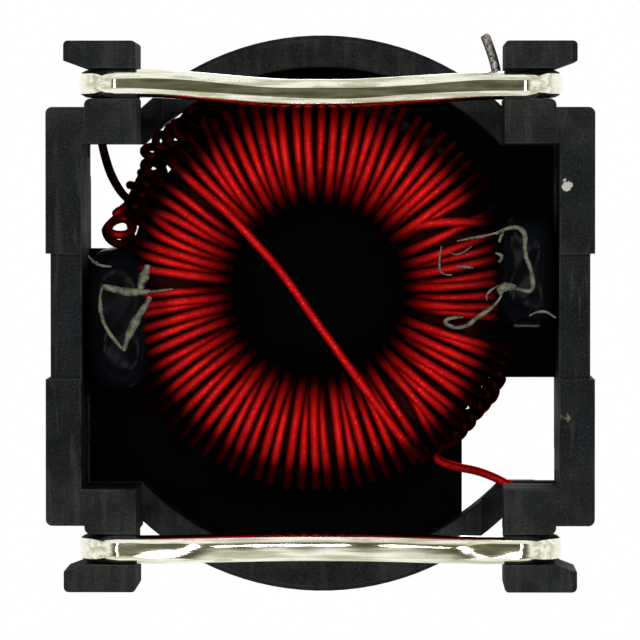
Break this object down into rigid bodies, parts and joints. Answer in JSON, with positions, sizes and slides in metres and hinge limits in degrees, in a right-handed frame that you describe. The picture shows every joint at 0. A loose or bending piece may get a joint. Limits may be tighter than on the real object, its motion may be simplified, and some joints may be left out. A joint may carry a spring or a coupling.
{
  "type": "fixed inductor",
  "caption": "Surface-mount toroidal inductor: red enamelled wire wound on a ring core, glued in a black moulded header with tinned wire terminals and a pick-up disc.",
  "frame": {"origin": "below the middle of the pick-up disc, in the plane of the board", "axes": "+Z away from the board, to the pick-up disc; +X along the two terminals, from side bar to side bar; +Y across them, from terminal_a to terminal_b"},
  "size_m": [0.025, 0.0258, 0.0094],
  "materials": {
    "moulding": "matt black filled thermoset, fine grey bloom on its faces",
    "powder_core": "dark epoxy-coated powder core",
    "enamelled_wire": "glossy red enamel over copper wire",
    "tinned_wire": "bright tin, with a duller coined flat",
    "solder": "smooth grey solder",
    "resin": "clear amber resin that looks dark over the black header"
  },
  "bodies": {
    "root": {"header": "moulding", "core": "powder_core", "winding": "enamelled_wire", "terminal_a": "tinned_wire", "terminal_b": "tinned_wire", "solder_a": "solder", "solder_b": "solder", "adhesive_left": "resin", "adhesive_right": "resin"}
  },
  "joints": []
}
